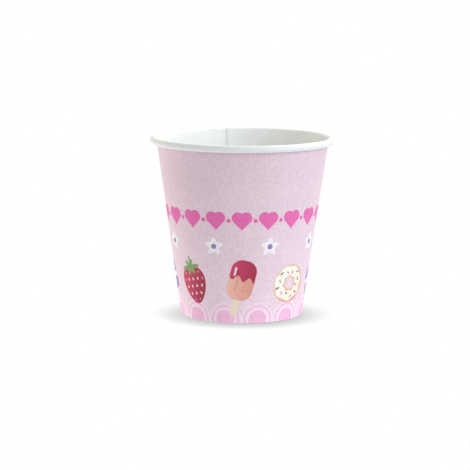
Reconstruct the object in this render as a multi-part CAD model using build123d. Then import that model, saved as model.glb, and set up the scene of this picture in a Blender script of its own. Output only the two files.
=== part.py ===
from build123d import *

import os
from math import acos, atan2, ceil, cos, degrees, floor, hypot, radians, sin, tan

# A small paper cup, about 120 ml, made of two blanks of coated paperboard.
#
# The sidewall is one blank, rolled into a cone. Its two edges lap in a sealed side seam, its top is curled
# outwards into the rim, and its foot is folded in and up. The bottom is a disc with its edge turned down
# into a skirt, and the skirt is held between the wall and the folded foot, the hem.
#
# Millimetres and degrees, +Z up. The origin is the centre of the base, on the plane that the cup stands on.
# Sections are drawn on the XZ plane as (radius, height) and turned about Z.

# Driving dimensions of the whole cup
rim_diameter = 65.0  # over the curled rim
base_diameter = 43.0  # over the wall, where it meets the table
cup_height = 63.0

# Sidewall blank
wall_board = 0.32  # thickness of the board
curl_diameter = 2.5  # height of the curled rim
curl_gap_angle = 8.0  # turn left between the rolled edge and the wall, where the seam doubles the board
outer_quarter_chords = 3  # straight steps in a quarter turn, round the outside of the curl
inner_quarter_chords = 2  # and round its hidden inside
hem_height = 5.2  # top edge of the folded foot, above the table

# Side seam
seam_angle = 101.0  # where the inner edge of the lap lies, from +X towards +Y
seam_lap = 6.0  # width of the lap at half the cup's height
seam_climb = 4.0  # length over which the outer layer climbs onto the inner one, there too
climb_steps = 2  # straight stretches that the climb is made of

# Bottom blank
bottom_board = 0.28  # thickness of the board
bottom_height = 6.0  # underside of the disc, above the table
skirt_clearance = 0.02  # sealing film on each side of the skirt
skirt_lift = 0.1  # lower edge of the skirt, above the inside of the fold

# Worked out from the dimensions above
rim_radius = rim_diameter / 2
base_radius = base_diameter / 2
curl_radius = curl_diameter / 2
curl_centre = Vector(rim_radius - curl_radius, cup_height - curl_radius)
hem_gap = bottom_board + 2 * skirt_clearance  # from the wall to the hem, across the skirt

# The wall leans out by the angle at which its inner face, one board inside the base circle,
# runs up as a tangent into the curl.
curl_reach = curl_centre.X - base_radius
lean = acos((curl_radius - wall_board) / hypot(curl_reach, curl_centre.Y)) - atan2(curl_centre.Y, curl_reach)

# The curl turns until its edge comes up to the wall, which it does first at the seam, on a double wall.
meeting_angle = acos((curl_radius - 2 * wall_board) / curl_radius)
curl_turn = 360 - degrees(meeting_angle) - curl_gap_angle

half_height_radius = base_radius + cup_height / 2 * tan(lean)
lap_angle = degrees(seam_lap / half_height_radius)
climb_angle = degrees(seam_climb / half_height_radius)


def across(distance):
    """Horizontal length of a distance measured square to the leaning wall."""
    return distance / cos(lean)


def wall_inner_radius(height):
    """Radius of the wall's inner face at a height."""
    return base_radius - across(wall_board) + height * tan(lean)


def sheet_section(inner, outer):
    """Section of a sheet of board between the corner points of its two faces."""
    return Plane.XZ * make_face(Polyline(*inner, *reversed(outer), close=True))


def crease(before, corner, after, depth):
    """Corner points of a crease: sharp on the inner face, and bevelled at a depth into the board."""
    if depth == 0:
        return [corner]
    incoming = (before - corner).normalized()
    outgoing = (after - corner).normalized()
    setback = depth / tan(radians(incoming.get_angle(outgoing)) / 2)
    return [corner + setback * incoming, corner + setback * outgoing]


def curl_points(radius, quarter_chords):
    """Points round the curl, from the wall to its rolled edge, with corners at its top, side and foot."""
    start = 180 - degrees(lean)
    end = start - curl_turn
    step = 90 / quarter_chords
    corners = [step * count for count in range(ceil(start / step) - 1, floor(end / step), -1)]
    angles = [radians(angle) for angle in (start, *corners, end)]
    return [curl_centre + radius * Vector(cos(angle), sin(angle)) for angle in angles]


def sidewall_line(depth, outset):
    """Corner points of the sidewall at a depth into its board, from the hem's top edge to the curl's edge.

    Depth is counted from the uncoloured inner face. A layer with an outset lies that far outside the
    plain wall, outside its hem and inside its curl, and stands on the table like the rest.
    """
    level = depth + outset
    ground = wall_board - depth
    hem_top = Vector(wall_inner_radius(hem_height) - across(hem_gap + level), hem_height)
    hem_foot = Vector(wall_inner_radius(ground) - across(hem_gap + level), ground)
    foot = Vector(wall_inner_radius(ground) + across(level), ground)
    curl = curl_points(curl_radius - level, inner_quarter_chords if depth else outer_quarter_chords)
    return [
        hem_top,
        *crease(hem_top, hem_foot, foot, depth),
        *crease(hem_foot, foot, curl[0], depth),
        *curl,
    ]


def layer_section(outset):
    """Section of one layer of the sidewall."""
    return sheet_section(sidewall_line(0, outset), sidewall_line(wall_board, outset))


def make_sidewall():
    """The wall turned round once, with its outer edge lapped over its inner edge."""
    single = layer_section(0)
    double = sheet_section(sidewall_line(0, 0), sidewall_line(wall_board, wall_board))
    lap_start = seam_angle - lap_angle
    climb_end = seam_angle + climb_angle
    seam = revolve(double.rotate(Axis.Z, lap_start), Axis.Z, lap_angle)
    round_wall = revolve(single.rotate(Axis.Z, climb_end), Axis.Z, 360 - lap_angle - climb_angle)

    shares = [step / climb_steps for step in range(climb_steps + 1)]
    stations = [
        layer_section(wall_board * (1 - share)).rotate(Axis.Z, seam_angle + climb_angle * share)
        for share in shares
    ]
    return round_wall + seam + loft(stations, ruled=True)


def bottom_line(depth):
    """Corner points of the bottom at a depth into its board, from the axis to the skirt's lower edge."""
    top = bottom_height + bottom_board - depth
    skirt_foot = wall_board + skirt_lift
    inset = across(skirt_clearance + depth)
    middle = Vector(0, top)
    corner = Vector(wall_inner_radius(top) - inset, top)
    edge = Vector(wall_inner_radius(skirt_foot) - inset, skirt_foot)
    return [middle, *crease(middle, corner, edge, bottom_board - depth), edge]


def make_bottom():
    """The disc and its skirt, seated in the slot between the wall and the hem."""
    return revolve(sheet_section(bottom_line(0), bottom_line(bottom_board)), Axis.Z)


os.makedirs("parts", exist_ok=True)
export_step(make_sidewall(), "parts/sidewall.step")
export_step(make_bottom(), "parts/bottom_disc.step")
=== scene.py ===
from math import acos, atan2, cos, degrees, hypot, pi, radians, sin, sqrt, tan

import bmesh
import bpy
import numpy as np
from mathutils import Matrix, Vector


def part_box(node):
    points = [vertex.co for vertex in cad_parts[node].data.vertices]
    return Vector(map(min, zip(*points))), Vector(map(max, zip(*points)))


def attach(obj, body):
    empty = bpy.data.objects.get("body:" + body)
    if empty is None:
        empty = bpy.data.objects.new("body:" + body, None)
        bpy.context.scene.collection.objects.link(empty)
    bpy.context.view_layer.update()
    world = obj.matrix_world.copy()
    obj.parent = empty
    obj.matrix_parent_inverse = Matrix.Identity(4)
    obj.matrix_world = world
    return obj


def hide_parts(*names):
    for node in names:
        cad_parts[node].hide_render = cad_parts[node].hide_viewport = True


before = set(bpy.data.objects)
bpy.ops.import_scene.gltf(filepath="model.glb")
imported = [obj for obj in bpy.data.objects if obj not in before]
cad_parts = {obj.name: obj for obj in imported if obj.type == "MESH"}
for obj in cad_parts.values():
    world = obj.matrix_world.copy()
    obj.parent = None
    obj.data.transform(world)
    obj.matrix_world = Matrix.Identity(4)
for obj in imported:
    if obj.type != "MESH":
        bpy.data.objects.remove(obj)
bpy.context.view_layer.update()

# A small paper cup of two paperboard blanks, dressed over the CAD frame. Both blanks are modelled as sheets
# with two faces and a cut edge: a printed sidewall with a lapped side seam, a curled rim and a folded foot,
# and a white bottom whose skirt is held in that fold.
#
# Metres in the scene. The blanks are worked out in millimetres and degrees, as in the CAD source.
MM = 0.001

# Sizes taken from the frame
rim_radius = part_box("sidewall")[1].x / MM
cup_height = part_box("sidewall")[1].z / MM
bottom_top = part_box("bottom_disc")[1].z / MM

# Sidewall blank
base_radius = 21.5
board = 0.32
curl_radius = 1.25
curl_gap_angle = 8.0
hem_height = 5.2
fold_radius = 0.05  # inside the creases of the foot
seam_angle = 101.0  # where the inner edge of the lap lies, from +X towards +Y
seam_lap = 6.0
seam_climb = 4.0
lap_gap = 0.01  # between the two layers of the seam
skive_depth = 0.1  # how much the seam's inner edge is pressed thinner
skive_width = 0.5
knurls = 88  # crimp marks round the hem
knurl_depth = 0.07

# Bottom blank
bottom_board = 0.28
skirt_clearance = 0.02
skirt_foot = 0.78  # lower edge of the skirt, clear of the doubled fold at the seam
bottom_sag = 0.35  # how far the middle of the disc hangs

# Small irregularities of a formed paper cup
rim_waves = ((2, 0.10, 0.6), (3, 0.05, 2.1))  # waves round the rim, depth, start
cockle_waves = ((5, 0.9, 0.035), (8, -1.7, 0.025), (13, 2.6, 0.012))  # waves round, waves up, depth

# Rows and columns of the meshes
columns_round = 4 * knurls
seam_columns = 14  # across the lap, and again across its climb
wall_rows = 44
hem_rows = 8
fold_steps = 5
curl_steps = 34
bottom_columns = 192
disc_rows = 18
shoulder_steps = 6
skirt_rows = 6
weld_distance = 0.0005

# Worked out from the sizes above
curl_centre = Vector((rim_radius - curl_radius, cup_height - curl_radius))
hem_gap = bottom_board + 2 * skirt_clearance
curl_reach = curl_centre.x - base_radius
lean = acos((curl_radius - board) / hypot(curl_reach, curl_centre.y)) - atan2(curl_centre.y, curl_reach)
meeting_angle = acos((curl_radius - 2 * board) / curl_radius)
curl_turn = 360 - degrees(meeting_angle) - curl_gap_angle
half_height_radius = base_radius + cup_height / 2 * tan(lean)
lap_angle = degrees(seam_lap / half_height_radius)
climb_angle = degrees(seam_climb / half_height_radius)
skive_angle = degrees(skive_width / half_height_radius)
front_angle = 270.0  # the side towards the camera, from +X


def across(distance):
    """Horizontal length of a distance measured square to the leaning wall."""
    return distance / cos(lean)


def inner_radius(height):
    """Radius of the plain wall's inner face at a height."""
    return base_radius - across(board) + height * tan(lean)


def smooth_step(share):
    """Eased share from 0 to 1."""
    share = np.clip(share, 0, 1)
    return share * share * (3 - 2 * share)


def unit(vectors):
    """Vectors of length 1 along the given ones."""
    return vectors / np.hypot(vectors[0], vectors[1])


def run(start, end, steps):
    """Points of a straight run, its end left out."""
    return [start + (end - start) * step / steps for step in range(steps)]


def bend(before, corner, after, radius, steps):
    """Points round a rounded corner between two straight runs."""
    incoming = unit(before - corner)
    outgoing = unit(after - corner)
    half = np.arccos((incoming * outgoing).sum(0)) / 2
    centre = corner + unit(incoming + outgoing) * radius / np.sin(half)
    start = corner + incoming * radius / np.tan(half) - centre
    end = corner + outgoing * radius / np.tan(half) - centre
    turn = pi - 2 * half
    shares = [step / steps for step in range(steps + 1)]
    return [centre + (start * np.sin((1 - s) * turn) + end * np.sin(s * turn)) / np.sin(turn) for s in shares]


def sidewall_face(depth, outset, lift):
    """One face of the sidewall's blank as rows of (radius, height), from the hem's top to the curl's edge.

    Depth is counted from the white face. Each column of the blank lies at its own outset, outside the plain
    wall, and at its own lift, above the table. Near a pressed edge, the white face has a depth of its own.
    """
    level = depth + outset
    ground = board - depth + lift
    height = np.full_like(level, hem_height)
    hem_top = np.array([inner_radius(hem_height) - across(hem_gap + level), height])
    hem_foot = np.array([inner_radius(ground) - across(hem_gap + level), ground])
    foot = np.array([inner_radius(ground) + across(level), ground])
    curl = []
    for step in range(curl_steps + 1):
        angle = pi - lean - radians(curl_turn) * step / curl_steps
        reach = curl_radius - level
        curl.append(np.array([curl_centre.x + reach * cos(angle), curl_centre.y + reach * sin(angle)]))
    toe = bend(hem_top, hem_foot, foot, fold_radius + depth, fold_steps)
    heel = bend(hem_foot, foot, curl[0], fold_radius + depth, fold_steps)
    hem = run(hem_top, toe[0], hem_rows)
    wall = run(heel[-1], curl[0], wall_rows)[1:]
    return np.array([*hem, *toe, *heel, *wall, *curl])


def bottom_face(depth):
    """One face of the bottom's blank as rows of (radius, height), from its middle to the skirt's edge."""
    level = np.full(bottom_columns + 1, bottom_top - depth)
    foot = np.full_like(level, skirt_foot)
    inset = across(skirt_clearance + depth)
    middle = np.array([np.zeros_like(level), level])
    corner = np.array([inner_radius(level) - inset, level])
    edge = np.array([inner_radius(foot) - inset, foot])
    shoulder = bend(middle, corner, edge, bottom_board + fold_radius - depth, shoulder_steps)
    disc = run(middle, shoulder[0], disc_rows)
    skirt = run(shoulder[-1], edge, skirt_rows)[1:]
    face = np.array([*disc, *shoulder, *skirt, edge])
    sagging = slice(disc_rows + 1)
    face[sagging, 1] -= bottom_sag * (1 - smooth_step(face[sagging, 0] / inner_radius(level)))
    return face


def round_points(face, angles):
    """Rows of (radius, height) turned to their angles, with the cup's small irregularities, in metres."""
    radius = face[:, 0]
    height = face[:, 1]
    rise = np.clip(height / cup_height, 0, 1)
    for waves, depth, start in rim_waves:
        radius = radius + depth * rise**2 * np.cos(waves * angles + start)
    for waves, upward, depth in cockle_waves:
        radius = radius + depth * np.sin(pi * rise) * np.sin(waves * angles + upward * pi * rise + waves)
    return np.stack([radius * np.cos(angles), radius * np.sin(angles), height], axis=-1) * MM


def path_lengths(face, column):
    """Length along one column of a face, from its first row."""
    steps = np.diff(face[:, :, column], axis=0)
    return np.concatenate([[0], np.cumsum(np.hypot(steps[:, 0], steps[:, 1]))])


def strip(first, second, flip):
    """Quads between two equal rows of vertex numbers, with their four corners in order."""
    corners = [first[:-1], first[1:], second[1:], second[:-1]]
    return np.stack(corners[::-1] if flip else corners, axis=-1)


def grid(numbers, flip):
    """Quads of a face from its table of vertex numbers."""
    return np.concatenate([strip(low, high, flip) for low, high in zip(numbers[:-1], numbers[1:])])


def make_sheet(white, printed, borders):
    """Vertex points of a two-faced sheet, and the quads of its faces and of the named borders.

    Vertices are numbered row by row and column by column, the white face first.
    """
    rows, columns = white.shape[:2]
    numbers = np.arange(2 * rows * columns).reshape(2, rows, columns)
    points = np.concatenate([white.reshape(-1, 3), printed.reshape(-1, 3)])
    strips = {
        "first_row": (numbers[1, 0], numbers[0, 0], True),
        "last_row": (numbers[1, -1], numbers[0, -1], False),
        "first_column": (numbers[1, :, 0], numbers[0, :, 0], False),
        "last_column": (numbers[1, :, -1], numbers[0, :, -1], True),
    }
    quads = {"white": grid(numbers[0], True), "printed": grid(numbers[1], False)}
    quads.update({name: strip(*strips[name]) for name in borders})
    return points, quads


def make_piece(name, points, quads, looks, cut_look, maps):
    """A smooth mesh object with sharp edges where its materials change.

    Each face of the sheet has its own look, and the borders have the look of a cut.
    """
    mesh = bpy.data.meshes.new(name)
    every_quad = np.concatenate(list(quads.values()))
    mesh.from_pydata(points.tolist(), [], every_quad.tolist())
    for material in (*looks.values(), cut_look):
        mesh.materials.append(material)
    order = list(looks)
    slots = [order.index(part) if part in looks else len(order) for part in quads]
    counts = [len(part_quads) for part_quads in quads.values()]
    mesh.polygons.foreach_set("material_index", np.repeat(slots, counts))
    mesh.polygons.foreach_set("use_smooth", np.ones(len(every_quad), bool))
    for map_name, corners in maps.items():
        layer = mesh.uv_layers.new(name=map_name)
        layer.data.foreach_set("uv", corners.astype(np.float32).ravel())

    shape = bmesh.new()
    shape.from_mesh(mesh)
    bmesh.ops.remove_doubles(shape, verts=shape.verts, dist=weld_distance * MM)
    for edge in shape.edges:
        edge.smooth = len({face.material_index for face in edge.link_faces}) == 1
    shape.to_mesh(mesh)
    shape.free()
    piece = bpy.data.objects.new(name, mesh)
    bpy.context.scene.collection.objects.link(piece)
    return piece


# Values that vary over a surface


class Field:
    """A value that varies over a surface. Arithmetic with it adds nodes to its material."""

    def __init__(self, socket):
        self.socket = socket
        self.tree = socket.id_data

    def math(self, operation, *others, clamp=False):
        node = self.tree.nodes.new("ShaderNodeMath")
        node.operation = operation
        node.use_clamp = clamp
        for entry, value in zip(node.inputs, (self, *others)):
            feed(entry, value)
        return Field(node.outputs[0])

    def vector(self, operation, *others):
        node = self.tree.nodes.new("ShaderNodeVectorMath")
        node.operation = operation
        entries = [entry for entry in node.inputs if entry.enabled]
        for entry, value in zip(entries, (self, *others)):
            feed(entry, value)
        return Field(next(output for output in node.outputs if output.enabled))

    def __add__(self, other):
        return self.math("ADD", other)

    def __sub__(self, other):
        return self.math("SUBTRACT", other)

    def __mul__(self, other):
        return self.math("MULTIPLY", other)

    def __truediv__(self, other):
        return self.math("DIVIDE", other)

    def __mod__(self, other):
        return self.math("FLOORED_MODULO", other)

    def __abs__(self):
        return self.math("ABSOLUTE")

    def __neg__(self):
        return self.math("MULTIPLY", -1.0)


def feed(entry, value):
    """Links a field to a node's entry, or sets a plain value there."""
    if isinstance(value, Field):
        value.tree.links.new(value.socket, entry)
    else:
        entry.default_value = value


def least(first, second):
    return first.math("MINIMUM", second)


def most(first, second):
    return first.math("MAXIMUM", second)


def length(x, y):
    return (x * x + y * y).math("SQRT")


def wave(value):
    return value.math("SINE")


def limited(value):
    """A value held between 0 and 1."""
    return value.math("ADD", 0.0, clamp=True)


def noise(tree, place, scale, detail=2.0, roughness=0.5):
    """Smooth noise about 0.5, with features of 1/scale in the units of its place."""
    node = tree.nodes.new("ShaderNodeTexNoise")
    feed(node.inputs["Vector"], place)
    node.inputs["Scale"].default_value = scale
    node.inputs["Detail"].default_value = detail
    node.inputs["Roughness"].default_value = roughness
    return Field(node.outputs["Fac"])


def ink(red, green, blue):
    """A colour given by its usual 0 to 255 values, as the light values that shaders take."""
    shares = [value / 255 for value in (red, green, blue)]
    return (*[s / 12.92 if s <= 0.04045 else ((s + 0.055) / 1.055) ** 2.4 for s in shares], 1.0)


def lay(under, over, share):
    """A colour laid over another one by a share from 0 to 1."""
    node = share.tree.nodes.new("ShaderNodeMix")
    node.data_type = "RGBA"
    entries = {"Factor": share, "A": under, "B": over}
    for entry in node.inputs:
        if entry.enabled and entry.name in entries:
            feed(entry, entries[entry.name])
    return Field(next(output for output in node.outputs if output.enabled))


def shaded(light, dark, value):
    """A colour that deepens as a value goes from 0 to 1."""
    return lay(light, dark, limited(value))


# White board and cut edges


def new_material(name):
    """An empty material with its shader, and the place on the piece, in metres, as a field."""
    material = bpy.data.materials.new(name)
    material.use_nodes = True
    tree = material.node_tree
    shader = tree.nodes["Principled BSDF"]
    coordinates = tree.nodes.new("ShaderNodeTexCoord")
    return material, tree, shader, Field(coordinates.outputs["Object"])


def add_bump(tree, shader, height, depth):
    """Surface relief from a height field, in millimetres from its lowest to its highest value."""
    node = tree.nodes.new("ShaderNodeBump")
    node.inputs["Strength"].default_value = 1.0
    node.inputs["Distance"].default_value = depth * MM
    feed(node.inputs["Height"], height)
    tree.links.new(node.outputs["Normal"], shader.inputs["Normal"])


def paper_white(name, tint, shade, roughness, specular, relief):
    """White paperboard with clouded fibre and a faint grain."""
    cloud_scale = 260
    fibre_scale = 1900
    shade_below = 0.38
    tint_gain = 2.6
    roughness_spread = 0.16
    material, tree, shader, place = new_material(name)
    cloud = noise(tree, place, cloud_scale, detail=3.0)
    fibre = noise(tree, place, fibre_scale, detail=3.0, roughness=0.6)
    tint_share = limited((cloud * 0.5 + fibre * 0.5 - shade_below) * tint_gain)
    feed(shader.inputs["Base Color"], lay(shade, tint, tint_share))
    feed(shader.inputs["Roughness"], cloud * roughness_spread + (roughness - roughness_spread / 2))
    shader.inputs["Specular IOR Level"].default_value = specular
    add_bump(tree, shader, fibre * 0.6 + cloud * 0.4, relief)
    return material


def make_cut_edge():
    """The cut edge of the board, where its fibres show in layers."""
    fibre_scale = 2600
    relief = 0.05
    least_roughness = 0.75
    roughness_spread = 0.2
    material, tree, shader, place = new_material("cut_edge")
    fibre = noise(tree, place, fibre_scale, detail=4.0, roughness=0.7)
    feed(shader.inputs["Base Color"], lay(ink(206, 200, 190), ink(242, 240, 234), fibre))
    feed(shader.inputs["Roughness"], fibre * roughness_spread + least_roughness)
    shader.inputs["Specular IOR Level"].default_value = 0.2
    add_bump(tree, shader, fibre, relief)
    return material


# Print, drawn as shapes in millimetres on the flat blank. A box is given by half its width, half its height
# and its corner's radius. Angles round the cup are in degrees from the front.
pink = ink(232, 208, 217)
pink_pale = ink(238, 214, 223)
rose = ink(241, 196, 217)
rose_pale = ink(245, 222, 232)
rose_deep = ink(241, 186, 214)
magenta = ink(233, 111, 176)
raspberry = ink(204, 65, 101)
raspberry_deep = ink(166, 46, 76)
peach = ink(241, 190, 170)
peach_deep = ink(222, 156, 138)
cream = ink(246, 235, 211)
cream_pale = ink(246, 246, 235)
cream_deep = ink(231, 206, 173)
cocoa = ink(117, 82, 72)
leaf = ink(134, 166, 107)
violet = ink(156, 127, 181)
violet_pale = ink(197, 175, 211)
white_ink = ink(246, 246, 246)
bare_board = ink(244, 242, 238)

print_softness = 0.07  # half the width over which a printed edge fades
print_end = -1.2  # height on the blank, round the fold of the foot, where the print stops
sweet_row = 13.6  # height of the middle of the sweets
sweet_repeats = 2  # how often each sweet stands round the cup


def within(distance, softness=print_softness):
    """1 where a distance is below zero and 0 where it is above, with a soft edge."""
    return distance.math("MULTIPLY_ADD", -0.5 / softness, 0.5, clamp=True)


def rounded_box(x, y, box):
    """Distance from the edge of a box with rounded corners."""
    half_width, half_height, corner = box
    over_x = abs(x) - (half_width - corner)
    over_y = abs(y) - (half_height - corner)
    outside = length(most(over_x, 0.0), most(over_y, 0.0))
    return outside + least(most(over_x, over_y), 0.0) - corner


def around(turn, radius, count, start):
    """Place across the nearest of some equal motifs round the cup, the first at a start angle."""
    step = 2 * pi / count
    return ((turn - (radians(start) - step / 2)) % step - step / 2) * radius


def turned(x, y, angle, scale):
    """A place in a motif that is turned anticlockwise by an angle in degrees, and enlarged."""
    c = cos(radians(angle)) / scale
    s = sin(radians(angle)) / scale
    return x * c + y * s, y * c - x * s


def sweet_place(turn, radius, height, start, tilt, scale):
    """A place in the nearest of a kind of sweet."""
    return turned(around(turn, radius, sweet_repeats, start), height - sweet_row, tilt, scale)


def print_scallops(colour, turn, radius, height):
    """A border of scallops along the foot, each with a pale band in it."""
    count = 12
    arc_row = 1.4  # height of the middle of their arcs
    bands = ((0.0, rose_pale), (0.55, rose), (1.5, rose_pale), (2.5, rose_deep))  # depth from the edge
    x = around(turn, radius, count, 180 / count)
    y = most(height - arc_row, 0.0)
    edge = length(x, y) - radius * (pi / count)
    for depth, band_colour in bands:
        colour = lay(colour, band_colour, within(edge + depth))
    return colour


def print_hearts(colour, turn, radius, height):
    """A row of hearts with a dot between each two."""
    count = 18
    tip_row = 33.6
    size = 5.9  # from the tip of a heart to the notch between its lobes
    softness = 0.015  # of a heart's edge, as a share of its size
    dot_rise = 3.4  # above the tips
    dot_radius = 0.75
    x, y = turned(around(turn, radius, count, 0), height - tip_row, 0, size)
    x = abs(x)

    # A square on its corner, with a circle centred on each of its upper sides
    square = most(x - y, x + y - 1.0) * sqrt(1 / 2)
    lobe = length(x - 1 / 4, y - 3 / 4) - sqrt(1 / 8)
    colour = lay(colour, magenta, within(least(lobe, square), softness))
    dot = length(around(turn, radius, count, 180 / count), height - tip_row - dot_rise) - dot_radius
    return lay(colour, magenta, within(dot))


def print_blossoms(colour, turn, radius, height):
    """White blossoms with a violet middle, between the hearts and the sweets."""
    count = 8
    row = 27.6
    scale = 1.3
    petals = 5
    mean_radius = 2.0
    petal_depth = 0.5
    middle_radius = 0.72
    white_share = 0.85
    x, y = turned(around(turn, radius, count, 180 / count), height - row, 0, scale)
    away = length(x, y)
    edge = away - wave(y.math("ARCTAN2", x) * petals) * petal_depth - mean_radius
    colour = lay(colour, white_ink, within(edge) * white_share)
    return lay(colour, violet, within(away - middle_radius))


def print_lolly(colour, turn, radius, height):
    """An ice lolly on a stick, dipped at its top."""
    start = 0
    tilt = -14
    scale = 1.22
    rise = 2.0  # above the other sweets
    body_box = (3.7, 6.0, 3.2)
    stick_box = (0.95, 2.8, 0.9)
    stick_drop = 8.2
    groove_box = (0.3, 3.4, 0.28)
    groove_aside = 1.25
    groove_drop = 0.4
    shine_box = (0.3, 1.3, 0.28)
    shine_aside = -2.35
    shine_rise = 2.2
    dip_rise = 0.4
    dip_depth = 0.75
    dip_pace = 1.9  # radians to the millimetre
    dip_start = 0.7
    dipped_groove_share = 0.6
    plain_groove_share = 0.7
    shine_share = 0.75
    shade_pace = 0.16

    x, y = sweet_place(turn, radius, height - rise, start, tilt, scale)
    body = rounded_box(x, y, body_box)
    stick = rounded_box(x, y + stick_drop, stick_box)
    groove = rounded_box(abs(x) - groove_aside, y + groove_drop, groove_box)
    shine = rounded_box(x - shine_aside, y - shine_rise, shine_box)
    above_dip = y + wave(x * dip_pace + dip_start) * dip_depth - dip_rise
    side = x * shade_pace + 0.5
    colour = lay(colour, shaded(cream, cream_deep, side), within(stick))
    colour = lay(colour, shaded(peach, peach_deep, side), within(body))
    colour = lay(colour, shaded(raspberry, raspberry_deep, side), within(most(body, -above_dip)))
    colour = lay(colour, raspberry_deep, within(most(groove, -above_dip)) * dipped_groove_share)
    colour = lay(colour, peach_deep, within(most(groove, above_dip)) * plain_groove_share)
    return lay(colour, white_ink, within(shine) * shine_share)


def print_doughnut(colour, turn, radius, height):
    """A ring doughnut with pale icing and sprinkles."""
    start = 45
    scale = 1.1
    ring_radius = 4.1
    ring_half = 2.2
    icing_half = 1.55
    icing_waves = 7
    icing_depth = 0.22
    sprinkles = 12
    sprinkle_box = (0.62, 0.24, 0.23)
    sprinkle_turn = 2.4  # radians from one sprinkle's lie to the next one's
    sprinkle_sway = 0.75  # to both sides of the ring's middle
    sway_pace = 1.9  # radians from one sprinkle to the next
    shade_pace = 0.07

    x, y = sweet_place(turn, radius, height, start, 0, scale)
    away = length(x, y)
    heading = y.math("ARCTAN2", x)
    ring = abs(away - ring_radius)
    icing = ring - wave(heading * icing_waves) * icing_depth - icing_half
    side = (x - y) * shade_pace + 0.5
    colour = lay(colour, shaded(cream_deep, peach_deep, side), within(ring - ring_half))
    colour = lay(colour, shaded(cream_pale, cream, side), within(icing))

    cell = 2 * pi / sprinkles
    number = (heading / cell).math("FLOOR")
    along = (heading % cell - cell / 2) * ring_radius
    out = away - ring_radius - wave(number * sway_pace) * sprinkle_sway
    c = (number * sprinkle_turn).math("COSINE")
    s = (number * sprinkle_turn).math("SINE")
    sprinkle = rounded_box(along * c + out * s, out * c - along * s, sprinkle_box)
    odd = (number % 2.0).math("GREATER_THAN", 0.5)
    return lay(colour, lay(cocoa, magenta, odd), within(sprinkle))


def print_macaron(colour, turn, radius, height):
    """A macaron: two domed shells with cream between them."""
    start = 90
    tilt = 16
    scale = 1.15
    shell_box = (5.6, 1.9, 1.7)
    shell_rise = 2.5
    frill_half = 5.3
    frill_half_height = 0.55
    frill_corner = 0.4
    frill_rise = 1.2
    frill_depth = 0.15
    frill_pace = 5.0  # radians to the millimetre
    filling_box = (5.0, 0.8, 0.7)
    shade_pace = 0.06
    shade_fall = 0.07
    shade_start = 0.45

    x, y = sweet_place(turn, radius, height, start, tilt, scale)
    frill_box = (wave(x * frill_pace) * frill_depth + frill_half, frill_half_height, frill_corner)
    shell = rounded_box(x, abs(y) - shell_rise, shell_box)
    frill = rounded_box(x, abs(y) - frill_rise, frill_box)
    filling = rounded_box(x, y, filling_box)
    side = x * shade_pace - y * shade_fall + shade_start
    colour = lay(colour, shaded(violet_pale, violet, side), within(shell))
    colour = lay(colour, violet, within(frill))
    return lay(colour, shaded(white_ink, cream, side), within(filling))


def print_strawberry(colour, turn, radius, height):
    """A strawberry with pale seeds and a crown of leaves."""
    start = 135
    tilt = 12
    scale = 1.22
    half_width = 4.5
    half_height = 5.6
    drop = 0.6
    taper_pace = 0.055
    softness = 0.015  # of the berry's edge, as a share of half its size
    edge_scale = 4.0  # millimetres to such a share, for the seeds' cut
    seed_aside = 1.9  # from one seed to the next in a row
    seed_rise = 2.1  # from one row to the next
    seed_radius = 0.26
    seed_flatness = 0.62
    bare_share = 0.16  # of the berry, along its edge, without seeds
    crown_rise = 4.6
    crown_radius = 2.0
    crown_width = 1.25  # as a multiple of a round crown's
    crown_squash = 1.2
    crown_leaves = 6
    leaf_depth = 0.8
    leaf_start = 1.2  # radians
    stem_box = (0.32, 1.3, 0.3)
    stem_aside = 0.3
    stem_rise = 6.6
    shade_pace = 0.13
    shade_fall = 0.05
    shade_start = 0.4

    x, y = sweet_place(turn, radius, height, start, tilt, scale)
    width = (y * taper_pace + 1.0) * half_width
    body = length(x / width, (y + drop) / half_height) - 1.0
    odd_row = (y / seed_rise).math("FLOOR") % 2.0
    seed_x = (x + odd_row * (seed_aside / 2) + seed_aside / 2) % seed_aside - seed_aside / 2
    seed_y = (y % seed_rise - seed_rise / 2) * seed_flatness
    seed = length(seed_x, seed_y) - seed_radius
    crown_y = y - crown_rise
    leaves = wave(crown_y.math("ARCTAN2", x) * crown_leaves + leaf_start) * leaf_depth
    crown = length(x / crown_width, crown_y * crown_squash) - leaves - crown_radius
    stem = rounded_box(x - stem_aside, y - stem_rise, stem_box)
    side = x * shade_pace - y * shade_fall + shade_start
    colour = lay(colour, shaded(raspberry, raspberry_deep, side), within(body, softness))
    colour = lay(colour, cream, within(most(seed, (body + bare_share) * edge_scale)))
    return lay(colour, leaf, most(within(crown), within(stem)))


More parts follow.
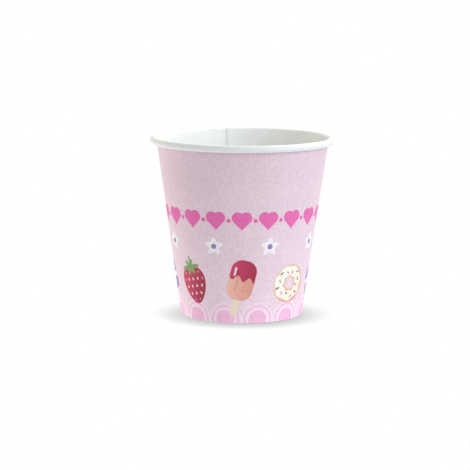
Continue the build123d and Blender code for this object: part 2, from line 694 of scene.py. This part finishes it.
def make_printed_board():
    """Matt printed paperboard: pale pink, with a plain repeating pattern of sweets."""
    cloud_scale = 90
    mottle_scale = 1100
    fibre_scale = 2300
    pale_above = 0.42
    pale_gain = 2.0
    mottle_gain = 0.32
    fibre_gain = 0.5
    relief = 0.035
    least_roughness = 0.5
    roughness_spread = 0.2
    light_reach = 0.8  # how far light spreads inside the board

    material, tree, shader, place = new_material("printed_board")
    blank = tree.nodes.new("ShaderNodeUVMap")
    blank.uv_map = "Blank"
    axes = tree.nodes.new("ShaderNodeSeparateXYZ")
    tree.links.new(blank.outputs["UV"], axes.inputs["Vector"])
    turn = Field(axes.outputs["X"])
    height = Field(axes.outputs["Y"])
    radius = height * sin(lean) + base_radius

    cloud = noise(tree, place, cloud_scale)
    mottle = noise(tree, place, mottle_scale, roughness=0.6)
    fibre = noise(tree, place, fibre_scale, detail=3.0, roughness=0.65)
    colour = shaded(pink, pink_pale, (cloud - pale_above) * pale_gain)
    for motif in (
        print_scallops,
        print_hearts,
        print_blossoms,
        print_lolly,
        print_doughnut,
        print_macaron,
        print_strawberry,
    ):
        colour = motif(colour, turn, radius, height)
    grain = (mottle - 0.5) * mottle_gain + (fibre - 0.5) * fibre_gain + 1.0
    inked = colour.vector("SCALE", grain)
    feed(shader.inputs["Base Color"], lay(inked, bare_board, within(height - print_end)))
    feed(shader.inputs["Roughness"], mottle * roughness_spread + least_roughness)
    shader.inputs["Specular IOR Level"].default_value = 0.35
    shader.inputs["Subsurface Weight"].default_value = 0.1
    shader.inputs["Subsurface Radius"].default_value = (1.0, 0.9, 0.75)
    shader.inputs["Subsurface Scale"].default_value = light_reach * MM
    add_bump(tree, shader, fibre * 0.5 + mottle * 0.5, relief)
    return material


coated_white = paper_white(
    "coated_white",
    tint=ink(249, 249, 247),
    shade=ink(242, 241, 239),
    roughness=0.42,
    specular=0.45,
    relief=0.03,
)
bare_white = paper_white(
    "bare_white",
    tint=ink(240, 238, 232),
    shade=ink(229, 225, 216),
    roughness=0.72,
    specular=0.25,
    relief=0.06,
)
cut_edge = make_cut_edge()
printed_board = make_printed_board()

# The sidewall's columns run over the lap, down its climb, round the plain wall and under the lap.
lap_level = board + lap_gap
climb_end = seam_angle + climb_angle
under_start = seam_angle + 360 - lap_angle
under_end = seam_angle + 360
turns = np.concatenate(
    [
        np.linspace(seam_angle - lap_angle, seam_angle, seam_columns, endpoint=False),
        np.linspace(seam_angle, climb_end, seam_columns, endpoint=False),
        np.linspace(climb_end, under_start, columns_round, endpoint=False),
        np.linspace(under_start, under_end, seam_columns),
    ]
)
angles = np.radians(turns)
outsets = lap_level * (1 - smooth_step((turns - seam_angle) / climb_angle))
lifts = lap_level * smooth_step((turns - (under_start - climb_angle)) / climb_angle)
skives = skive_depth * smooth_step((turns - (under_end - skive_angle)) / skive_angle)
white_face = sidewall_face(skives, outsets, lifts)
printed_face = sidewall_face(board, outsets, lifts)

# Crimp marks, pressed into the hem from inside
hem_share = np.sqrt(np.sin(np.linspace(0, pi, hem_rows)))[:, None]
printed_face[:hem_rows, 0] += knurl_depth * hem_share * (0.5 + 0.5 * np.cos(knurls * angles))

wall_points, wall_quads = make_sheet(
    round_points(white_face, angles),
    round_points(printed_face, angles),
    ("first_row", "last_row", "first_column", "last_column"),
)

# Where the sidewall's vertices lie on the flat blank, as the turn from the front and the height up the wall
row_count = len(white_face)
column_count = len(turns)
plain_column = column_count // 2
curl_row = row_count - curl_steps - 1
paths = [path_lengths(face, plain_column) for face in (white_face, printed_face)]
curl_height = printed_face[curl_row, 1, plain_column]
blank_heights = paths[1] - paths[1][curl_row] + across(curl_height)
blank_turns = np.radians(turns - front_angle)

# Where they lie on the square that an exported model's picture of the print fills, as shares of its side
bake_margin = 0.01
bake_span = 1 - 2 * bake_margin
bake_face_span = 0.475
bake_faces = {"printed": 0.010, "white": 0.505}
bake_borders = {"first_row": 0.488, "last_row": 0.4945, "first_column": 0.984, "last_column": 0.991}
bake_border_span = 0.0035
column_shares = (turns - turns[0]) / (turns[-1] - turns[0])
row_shares = np.array([path / path[-1] for path in paths])


def corner_keys(quads):
    """Side, row and column of each corner of some quads of the sidewall, with side 0 for the white face."""
    side, rest = np.divmod(quads, row_count * column_count)
    row, column = np.divmod(rest, column_count)
    return side, row, column


def blank_corners(quads):
    """Places of some corners on the flat blank."""
    _, row, column = corner_keys(quads)
    return np.stack([blank_turns[column], blank_heights[row]], axis=-1)


def bake_corners(part, quads):
    """Places of a face's or a border's corners on the square."""
    side, row, column = corner_keys(quads)
    spread = bake_margin + bake_span * column_shares[column]
    if part in bake_faces:
        return np.stack([spread, bake_faces[part] + bake_face_span * row_shares[side, row]], axis=-1)
    along = spread if part.endswith("row") else bake_margin + bake_span * row_shares[0, row]
    return np.stack([along, bake_borders[part] + bake_border_span * side], axis=-1)


sidewall = make_piece(
    "printed_sidewall",
    wall_points,
    wall_quads,
    {"white": coated_white, "printed": printed_board},
    cut_edge,
    {
        "OFBake": np.concatenate([bake_corners(part, quads) for part, quads in wall_quads.items()]),
        "Blank": np.concatenate([blank_corners(quads) for quads in wall_quads.values()]),
    },
)
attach(sidewall, "root")
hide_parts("sidewall")

# The bottom, with its coated face up, so its quads face the other way from the sidewall's
bottom_angles = np.linspace(0, 2 * pi, bottom_columns + 1)
top_face = round_points(bottom_face(0.0), bottom_angles)
under_face = round_points(bottom_face(bottom_board), bottom_angles)
bottom_points, bottom_quads = make_sheet(under_face, top_face, ("last_row",))
bottom = make_piece(
    "bottom",
    bottom_points,
    {part: quads[:, ::-1] for part, quads in bottom_quads.items()},
    {"printed": coated_white, "white": bare_white},
    cut_edge,
    {},
)
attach(bottom, "root")
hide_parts("bottom_disc")

# Light, in metres, watts and degrees. Lamps stand round the cup at an angle from the front, positive to the
# right, and at an angle above the table.
lamp_distance = 0.9
lamp_width = 0.5
lamp_height = 0.6
lamps = {
    "front_right": (50, 20, 3.7, (0.82, 0.90, 1.0)),
    "right": (85, 20, 1.35, (0.95, 0.97, 1.0)),
    "back_right": (150, 45, 5.3, (1.0, 0.99, 0.93)),
    "left": (-115, 12, 1.6, (1.0, 0.82, 0.58)),
}
sky_strength = 0.48
sky_colour = (0.96, 1.0, 0.98, 1.0)

# Floor: a glowing white table that lights the cup, brighter close to the cup and on one side
floor_half = 6.0
floor_drop = 0.05 * MM
floor_colour = (0.95, 0.95, 1.0, 1.0)
floor_glow = 0.32
pool_glow = 0.73
pool_reach = 0.12
bright_glow = 0.76
bright_direction = (-0.876, 0.481, 0)
# Painted shadow: the white that the camera sees on the floor is darkened by ambient occlusion within this
# reach, not by the lamps
shadow_reach = 0.0112
shadow_depth = 0.64
shadow_lean = (0, 0.6, 0)  # added to the floor's normal, so that the shadow lies more to the front
shadow_samples = 16


def seen_rays(tree):
    """1 for rays that show the white surroundings, straight or mirrored, and 0 for those that light."""
    rays = tree.nodes.new("ShaderNodeLightPath")
    names = ("Is Camera Ray", "Is Glossy Ray", "Is Transmission Ray")
    straight, mirrored, through = [Field(rays.outputs[name]) for name in names]
    return most(most(straight, mirrored), through)


def choose_shader(tree, share, first, second, surface):
    """Joins two shaders, so that the second one shows where a share is 1."""
    choose = tree.nodes.new("ShaderNodeMixShader")
    feed(choose.inputs["Fac"], share)
    tree.links.new(first.outputs[0], choose.inputs[1])
    tree.links.new(second.outputs[0], choose.inputs[2])
    tree.links.new(choose.outputs[0], surface)


def make_floor():
    """A glowing white table that lights the cup, with a painted soft shadow close round the cup where the
    camera sees it.
    """
    material, tree, shader, place = new_material("pale_floor")
    nodes = tree.nodes
    nodes.remove(shader)
    glow = nodes.new("ShaderNodeEmission")
    glow.inputs["Color"].default_value = floor_colour
    away = place.vector("LENGTH") / pool_reach
    pool = (away * away + 1.0).math("POWER", -1.0)
    bright_side = most(place.vector("NORMALIZE").vector("DOT_PRODUCT", bright_direction), 0.0)
    feed(glow.inputs["Strength"], pool * pool_glow + bright_side * bright_glow + floor_glow)

    normal = Field(nodes.new("ShaderNodeNewGeometry").outputs["Normal"])
    shadow = nodes.new("ShaderNodeAmbientOcclusion")
    shadow.samples = shadow_samples
    shadow.inputs["Distance"].default_value = shadow_reach
    feed(shadow.inputs["Normal"], normal.vector("ADD", shadow_lean).vector("NORMALIZE"))
    # Painted shadow: camera rays see white emission, darkened where ambient occlusion finds the cup close by
    white = nodes.new("ShaderNodeEmission")
    feed(white.inputs["Strength"], Field(shadow.outputs["AO"]) * shadow_depth + (1 - shadow_depth))
    choose_shader(tree, seen_rays(tree), glow, white, nodes["Material Output"].inputs["Surface"])

    mesh = bpy.data.meshes.new("floor")
    corners = [(-1, -1), (1, -1), (1, 1), (-1, 1)]
    mesh.from_pydata([(x * floor_half, y * floor_half, 0) for x, y in corners], [], [(0, 1, 2, 3)])
    mesh.materials.append(material)
    plane = bpy.data.objects.new("floor", mesh)
    plane.location.z = -floor_drop
    bpy.context.scene.collection.objects.link(plane)


def make_world():
    """Even soft light from all round, with white behind the cup."""
    world = bpy.data.worlds.new("studio")
    world.use_nodes = True
    tree = world.node_tree
    soft = tree.nodes["Background"]
    soft.inputs["Color"].default_value = sky_colour
    soft.inputs["Strength"].default_value = sky_strength
    white = tree.nodes.new("ShaderNodeBackground")
    white.inputs["Color"].default_value = (1, 1, 1, 1)
    choose_shader(tree, seen_rays(tree), soft, white, tree.nodes["World Output"].inputs["Surface"])
    bpy.context.scene.world = world


def make_lamp(name, azimuth, elevation, power, colour):
    """A softbox that faces the middle of the cup."""
    light = bpy.data.lights.new(name, "AREA")
    light.shape = "RECTANGLE"
    light.size = lamp_width
    light.size_y = lamp_height
    light.energy = power
    light.color = colour
    a = radians(azimuth)
    e = radians(elevation)
    middle = Vector((0, 0, cup_height / 2 * MM))
    offset = Vector((sin(a) * cos(e), -cos(a) * cos(e), sin(e))) * lamp_distance
    holder = bpy.data.objects.new(name, light)
    holder.location = middle + offset
    holder.rotation_euler = (-offset).to_track_quat("-Z", "Y").to_euler()
    bpy.context.scene.collection.objects.link(holder)


# Camera, as in the photograph
camera_place = Vector((0, -750, 142)) * MM
camera_aim = Vector((-2.45, 0, 27.75)) * MM
camera_roll = 0.006  # radians
focal_pixels = 2135
picture_pixels = 470


def make_camera():
    """The camera at the photograph's viewing angle."""
    data = bpy.data.cameras.new("camera")
    data.sensor_width = 36
    data.lens = focal_pixels / picture_pixels * data.sensor_width
    data.clip_start = 0.01
    data.clip_end = 50
    camera = bpy.data.objects.new("camera", data)
    bpy.context.scene.collection.objects.link(camera)
    back = (camera_place - camera_aim).normalized()
    right = Vector((0, 0, 1)).cross(back).normalized()
    up = back.cross(right)
    tilted_right = right * cos(camera_roll) + up * sin(camera_roll)
    tilted_up = up * cos(camera_roll) - right * sin(camera_roll)
    axes = Matrix((tilted_right, tilted_up, back)).transposed()
    camera.matrix_world = Matrix.LocRotScale(camera_place, axes.to_quaternion(), None)
    bpy.context.scene.camera = camera


make_floor()
make_world()
for lamp_name, settings in lamps.items():
    make_lamp(lamp_name, *settings)
make_camera()
bpy.context.scene.view_settings.view_transform = "Standard"
